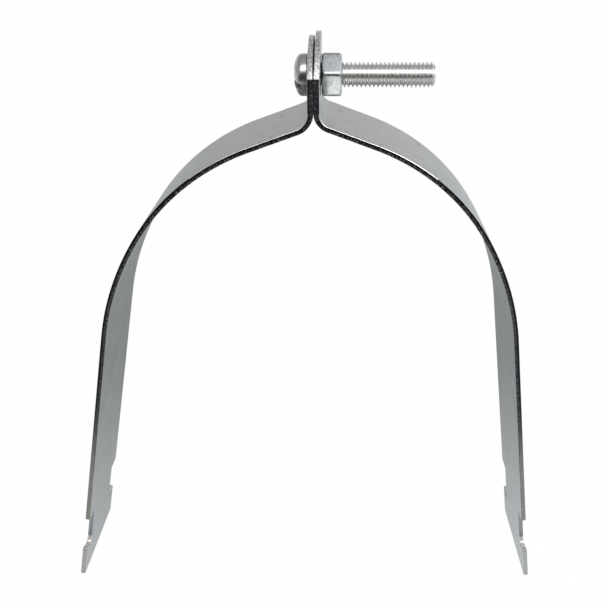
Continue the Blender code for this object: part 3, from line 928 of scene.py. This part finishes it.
class CLAMP_OT_straps(bpy.types.Operator):
    """Build both bent straps with their ears, notches and hooked feet"""

    bl_idname = "clamp.straps"
    bl_label = "Straps"

    def execute(self, context):
        scene = context.scene
        strap = scene.clamp_strap
        finish = scene.clamp_finish
        zinc = plated_material("strap_zinc", finish.strap, finish.strap_gloss, 0.55, 0.22, on_blank=True)
        sheared = sheared_material("sheared_edge", finish, strap)
        # The rollover's lighter line is a painted highlight.
        rollover_highlight = plated_material("rollover_painted_highlight", finish.rollover_highlight, finish.rolled_gloss, 0.3, 0.2, on_blank=True)
        materials = [zinc, sheared, rollover_highlight]
        for half, side, top in (("left", -1.0, LEFT_HIGH.z), ("right", 1.0, RIGHT_HIGH.z)):
            name = half + "_strap_plated"
            bend, (blank, quads, slots) = strap_surface(strap, scene.clamp_bend, side, top - SCREW_AXIS_Z)
            # How pale each edge point is, partly painted reflection.
            tone_and_reflection = edge_tone_and_reflection(bend, strap, blank)
            mesh = build_mesh(name, bend.carry(blank), quads, slots, materials, blank, tone_and_reflection)
            add_piece(name, mesh, half + "_half", half + "_strap", sharp=50.0)
        return {"FINISHED"}


class CLAMP_OT_screw(bpy.types.Operator):
    """Build the pan head screw with its recess and thread"""

    bl_idname = "clamp.screw"
    bl_label = "Screw"

    def execute(self, context):
        screw = context.scene.clamp_screw
        finish = context.scene.clamp_finish
        # The head's darker tint and the thread's lighter one are painted shade and painted light.
        zinc = plated_material("screw_zinc", finish.screw, finish.screw_gloss, 0.12, 0.12)
        thread = plated_material("thread_zinc_lightened", finish.thread, finish.thread_gloss, 0.12, 0.12)
        # The recess is darkened as painted shade.
        recess_shade = recess_shade_material("recess_painted_shade", finish)
        bearing = SCREW_LOW.x + screw.head_height
        radius = (SCREW_HIGH.z - SCREW_LOW.z) / 2.0
        patches = Patches()
        head, recess = head_surface(screw, bearing, radius)
        patches.add(head, np.where(recess, 2, 0))
        patches.add(thread_surface(screw, bearing - 0.5 * MM, SCREW_HIGH.x), 1)
        mesh = build_mesh("threaded_clamp_screw", *patches.joined(), [zinc, thread, recess_shade])
        add_piece("threaded_clamp_screw", mesh, "screw", "clamp_screw", sharp=42.0)
        return {"FINISHED"}


class CLAMP_OT_nut(bpy.types.Operator):
    """Build the hex nut with its coned corners and bore"""

    bl_idname = "clamp.nut"
    bl_label = "Nut"

    def execute(self, context):
        nut = context.scene.clamp_nut
        finish = context.scene.clamp_finish
        zinc = plated_material("nut_zinc", finish.nut, finish.nut_gloss, 0.30, 0.22, grain=1.4)
        patches = Patches()
        patches.add(nut_surface(nut, NUT_LOW.x, NUT_HIGH.x), 0)
        mesh = build_mesh("plated_hex_nut", *patches.joined(), [zinc])
        add_piece("plated_hex_nut", mesh, "nut", "hex_nut", sharp=34.0)
        return {"FINISHED"}


WHITE = (1.0, 1.0, 1.0)
FLOOR_MATT = (0.9, 0.9, 0.9)
FLOOR_GLOW = 0.985  # share of the glow where the floor is seen
FLOOR_CAST = (0.97, 1.0, 1.02)  # tint that gloss sees
# Bands of the floor as gloss sees it: an axis, where the band begins and ends, and its two levels.
FLOOR_BANDS = {
    "front": ("Y", -0.33, -0.12, 0.05, 1.0),
    "back": ("Y", -0.05, 0.11, 1.0, 0.46),
    "far": ("Y", 0.17, 0.34, 0.0, 0.42),
    "across": ("X", -0.07, 0.06, 0.88, 1.0),
    "left": ("X", -0.28, -0.10, 0.3, 1.0),
    "behind": ("Y", -0.08, 0.0, 0.0, 1.0),
}
# Angles over the clamp in degrees, from the camera's side over the top to the back, with their levels.
STUDIO_LEVELS = (
    (0.0, 0.05),
    (21.0, 0.05),
    (31.0, 0.9),
    (60.0, 1.0),
    (69.0, 0.42),
    (100.0, 0.43),
    (135.0, 0.30),
    (168.0, 0.88),
)
SIDE_WALLS = ((0.42, 0.42, 0.42), (0.9, 0.9, 0.9))  # towards -X and +X


def floor_material():
    """A pale matt floor that shows as white, and keeps a faint shadow.

    Gloss sees it white round the clamp, greyer behind it, and dark on the camera's side and on its left.
    """
    made = bpy.data.materials.new("pale_floor")
    made.use_nodes = True
    made.node_tree.nodes.clear()
    nodes = Nodes(made.node_tree)
    place = nodes.split(nodes.put("ShaderNodeTexCoord").outputs["Object"])
    bands = {name: nodes.remap(place[axis], *run) for name, (axis, *run) in FLOOR_BANDS.items()}
    shade = nodes.times(
        bands["front"],
        nodes.plus(bands["back"], bands["far"]),
        bands["across"],
        nodes.calculate("MAXIMUM", bands["left"], bands["behind"]),
    )
    path = nodes.put("ShaderNodeLightPath").outputs
    seen_as = nodes.mix(path["Is Camera Ray"], nodes.grey(shade, FLOOR_CAST), WHITE)
    seen = nodes.calculate("MAXIMUM", path["Is Camera Ray"], path["Is Glossy Ray"])
    seen = nodes.calculate("MAXIMUM", seen, path["Is Transmission Ray"])
    matt = nodes.fed("ShaderNodeBsdfDiffuse", Color=FLOOR_MATT).outputs["BSDF"]
    glow = nodes.fed("ShaderNodeEmission", Color=seen_as).outputs["Emission"]
    mixed = nodes.put("ShaderNodeMixShader")
    for value, slot in zip((nodes.times(seen, FLOOR_GLOW), matt, glow), mixed.inputs):
        nodes.feed(value, slot)
    nodes.fed("ShaderNodeOutputMaterial", Surface=mixed.outputs["Shader"])
    return made


def studio_world():
    """The studio's walls by their angle over the clamp.

    The camera's side is dark, a soft band above it is bright, the top is grey and the back is pale.
    """
    world = bpy.data.worlds.new("studio")
    world.use_nodes = True
    world.node_tree.nodes.clear()
    nodes = Nodes(world.node_tree)
    x, y, z = nodes.split(nodes.put("ShaderNodeTexCoord").outputs["Generated"])
    angle = nodes.calculate("ARCTAN2", z, nodes.times(y, -1.0))
    ramp = nodes.fed("ShaderNodeValToRGB", Fac=nodes.calculate("DIVIDE", angle, math.pi))
    points = ramp.color_ramp.elements
    for degrees, _ in STUDIO_LEVELS[2:]:
        points.new(degrees / 180.0)
    for point, (degrees, level) in zip(points, STUDIO_LEVELS):
        point.position = degrees / 180.0
        point.color = (level, level, level, 1.0)
    slope = nodes.grey(nodes.remap(x, -0.7, 0.7, 0.84, 1.12))
    overhead = nodes.mix(1.0, ramp.outputs["Color"], slope, "MULTIPLY")
    walls = nodes.mix(nodes.remap(x, -0.6, 0.6), *SIDE_WALLS)
    side = nodes.remap(nodes.calculate("ABSOLUTE", x), 0.60, 0.88)
    camera = nodes.put("ShaderNodeLightPath").outputs["Is Camera Ray"]
    colour = nodes.mix(camera, nodes.mix(side, overhead, walls), WHITE)
    backdrop = nodes.fed("ShaderNodeBackground", Color=colour)
    nodes.fed("ShaderNodeOutputWorld", Surface=backdrop.outputs["Background"])
    return world


def soft_lamp(name, place, aim, width, depth, power, colour=WHITE):
    """A rectangular soft lamp at a place, turned towards a point."""
    data = bpy.data.lights.new(name, "AREA")
    data.shape = "RECTANGLE"
    data.size = width
    data.size_y = depth
    data.energy = power
    data.color = colour
    lamp = bpy.data.objects.new(name, data)
    bpy.context.scene.collection.objects.link(lamp)
    lamp.location = place
    lamp.rotation_euler = (Vector(aim) - Vector(place)).to_track_quat("-Z", "Y").to_euler()


class CLAMP_OT_stage(bpy.types.Operator):
    """Build the pale floor, the soft studio light and the camera"""

    bl_idname = "clamp.stage"
    bl_label = "Stage"

    def execute(self, context):
        studio = context.scene.clamp_studio
        scene = context.scene
        drawn = bmesh.new()
        bmesh.ops.create_circle(drawn, cap_ends=True, segments=96, radius=studio.floor_radius)
        mesh = bpy.data.meshes.new("pale_floor")
        drawn.to_mesh(mesh)
        drawn.free()
        mesh.materials.append(floor_material())
        floor = bpy.data.objects.new("pale_floor", mesh)
        scene.collection.objects.link(floor)

        scene.world = studio_world()
        soft_lamp("front_softbox", (0.12, -0.58, 0.80), (0.0, 0.0, 0.14), width=1.5, depth=0.44, power=4.2)
        warm = (1.0, 0.955, 0.85)
        place = (0.50, -0.55, 0.54)
        soft_lamp("right_softbox", place, (0.01, 0.0, 0.135), width=0.45, depth=0.25, power=1.4, colour=warm)

        data = bpy.data.cameras.new("camera")
        data.lens = studio.lens
        data.sensor_width = 36.0
        data.shift_x = -studio.shift_across
        data.shift_y = studio.shift_up
        data.clip_start = 0.005
        data.clip_end = 50.0
        camera = bpy.data.objects.new("camera", data)
        scene.collection.objects.link(camera)
        camera.location = (studio.across, -studio.back, studio.height)
        camera.rotation_euler = (math.pi / 2.0 - studio.pitch, 0.0, -studio.yaw)
        scene.camera = camera
        scene.view_settings.view_transform = "Standard"
        return {"FINISHED"}


class CLAMP_PT_sidebar(bpy.types.Panel):
    """Lists the clamp's pieces and their sizes"""

    bl_label = "Pipe Clamp"
    bl_idname = "CLAMP_PT_sidebar"
    bl_space_type = "VIEW_3D"
    bl_region_type = "UI"
    bl_category = "Pipe Clamp"

    def draw(self, context):
        layout = self.layout
        for operator in OPERATORS:
            layout.operator(operator.bl_idname)
        for name in SETTINGS:
            box = layout.box()
            settings = getattr(context.scene, name)
            for prop in settings.bl_rna.properties:
                if prop.identifier not in ("name", "rna_type"):
                    box.prop(settings, prop.identifier)


OPERATORS = (CLAMP_OT_straps, CLAMP_OT_screw, CLAMP_OT_nut, CLAMP_OT_stage)
SETTINGS = {
    "clamp_strap": StrapSettings,
    "clamp_bend": BendSettings,
    "clamp_screw": ScrewSettings,
    "clamp_nut": NutSettings,
    "clamp_finish": FinishSettings,
    "clamp_studio": StudioSettings,
}


def register():
    """Registers the settings, the operators and the panel."""
    for name, group in SETTINGS.items():
        bpy.utils.register_class(group)
        setattr(bpy.types.Scene, name, PointerProperty(type=group))
    for operator in OPERATORS:
        bpy.utils.register_class(operator)
    bpy.utils.register_class(CLAMP_PT_sidebar)


def unregister():
    """Removes the panel, the operators and the settings."""
    bpy.utils.unregister_class(CLAMP_PT_sidebar)
    for operator in reversed(OPERATORS):
        bpy.utils.unregister_class(operator)
    for name, group in SETTINGS.items():
        delattr(bpy.types.Scene, name)
        bpy.utils.unregister_class(group)


def main():
    """Builds every piece and the stage."""
    register()
    bpy.ops.clamp.straps()
    bpy.ops.clamp.screw()
    bpy.ops.clamp.nut()
    bpy.ops.clamp.stage()


if __name__ == "__main__":
    main()
